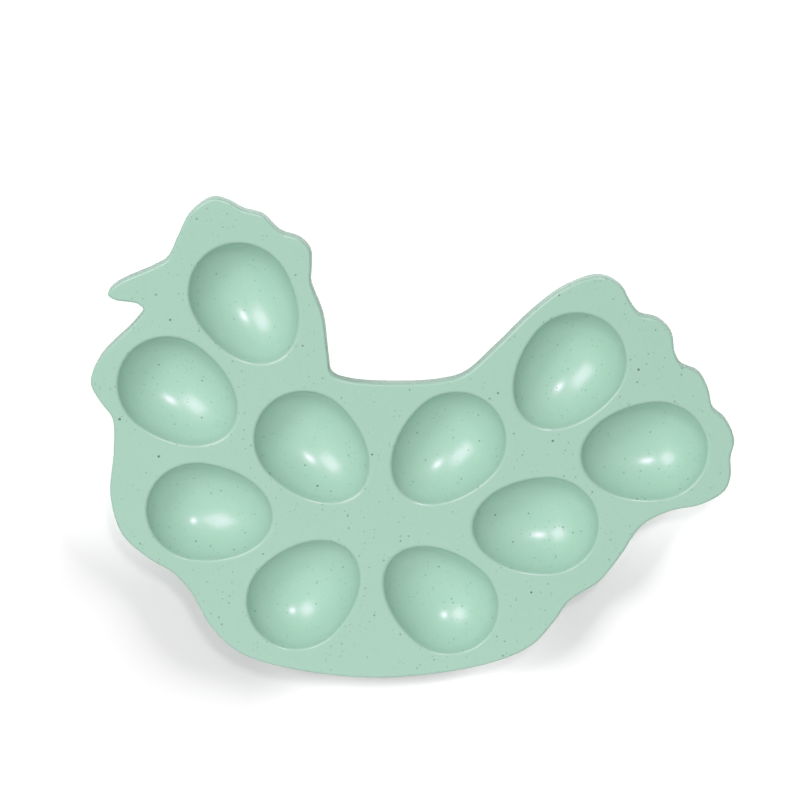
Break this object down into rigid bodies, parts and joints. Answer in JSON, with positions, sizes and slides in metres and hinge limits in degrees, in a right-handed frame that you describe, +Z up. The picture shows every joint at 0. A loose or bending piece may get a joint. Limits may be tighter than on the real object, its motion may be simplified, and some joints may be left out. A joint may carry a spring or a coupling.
{
  "type": "deviled egg platter",
  "caption": "Hen-shaped deviled egg platter: a speckled moulding with egg-shaped wells, a rounded rim, a low skirt and anti-slip pads.",
  "frame": {"origin": "on the table, under the middle of the platter's length and width", "axes": "+X from the beak and breast to the tail, +Y from the belly to the comb, +Z up out of the wells"},
  "size_m": [0.324, 0.2505, 0.0249],
  "materials": {
    "speckled_mint": "semi-gloss mint green moulding with fine dark specks",
    "pad_rubber": "soft matt silicone rubber"
  },
  "bodies": {
    "root": {"platter_body": "speckled_mint", "comb_pad": "pad_rubber", "chest_pad": "pad_rubber", "belly_pad": "pad_rubber", "tail_tip_pad": "pad_rubber", "tail_top_pad": "pad_rubber"}
  },
  "joints": []
}
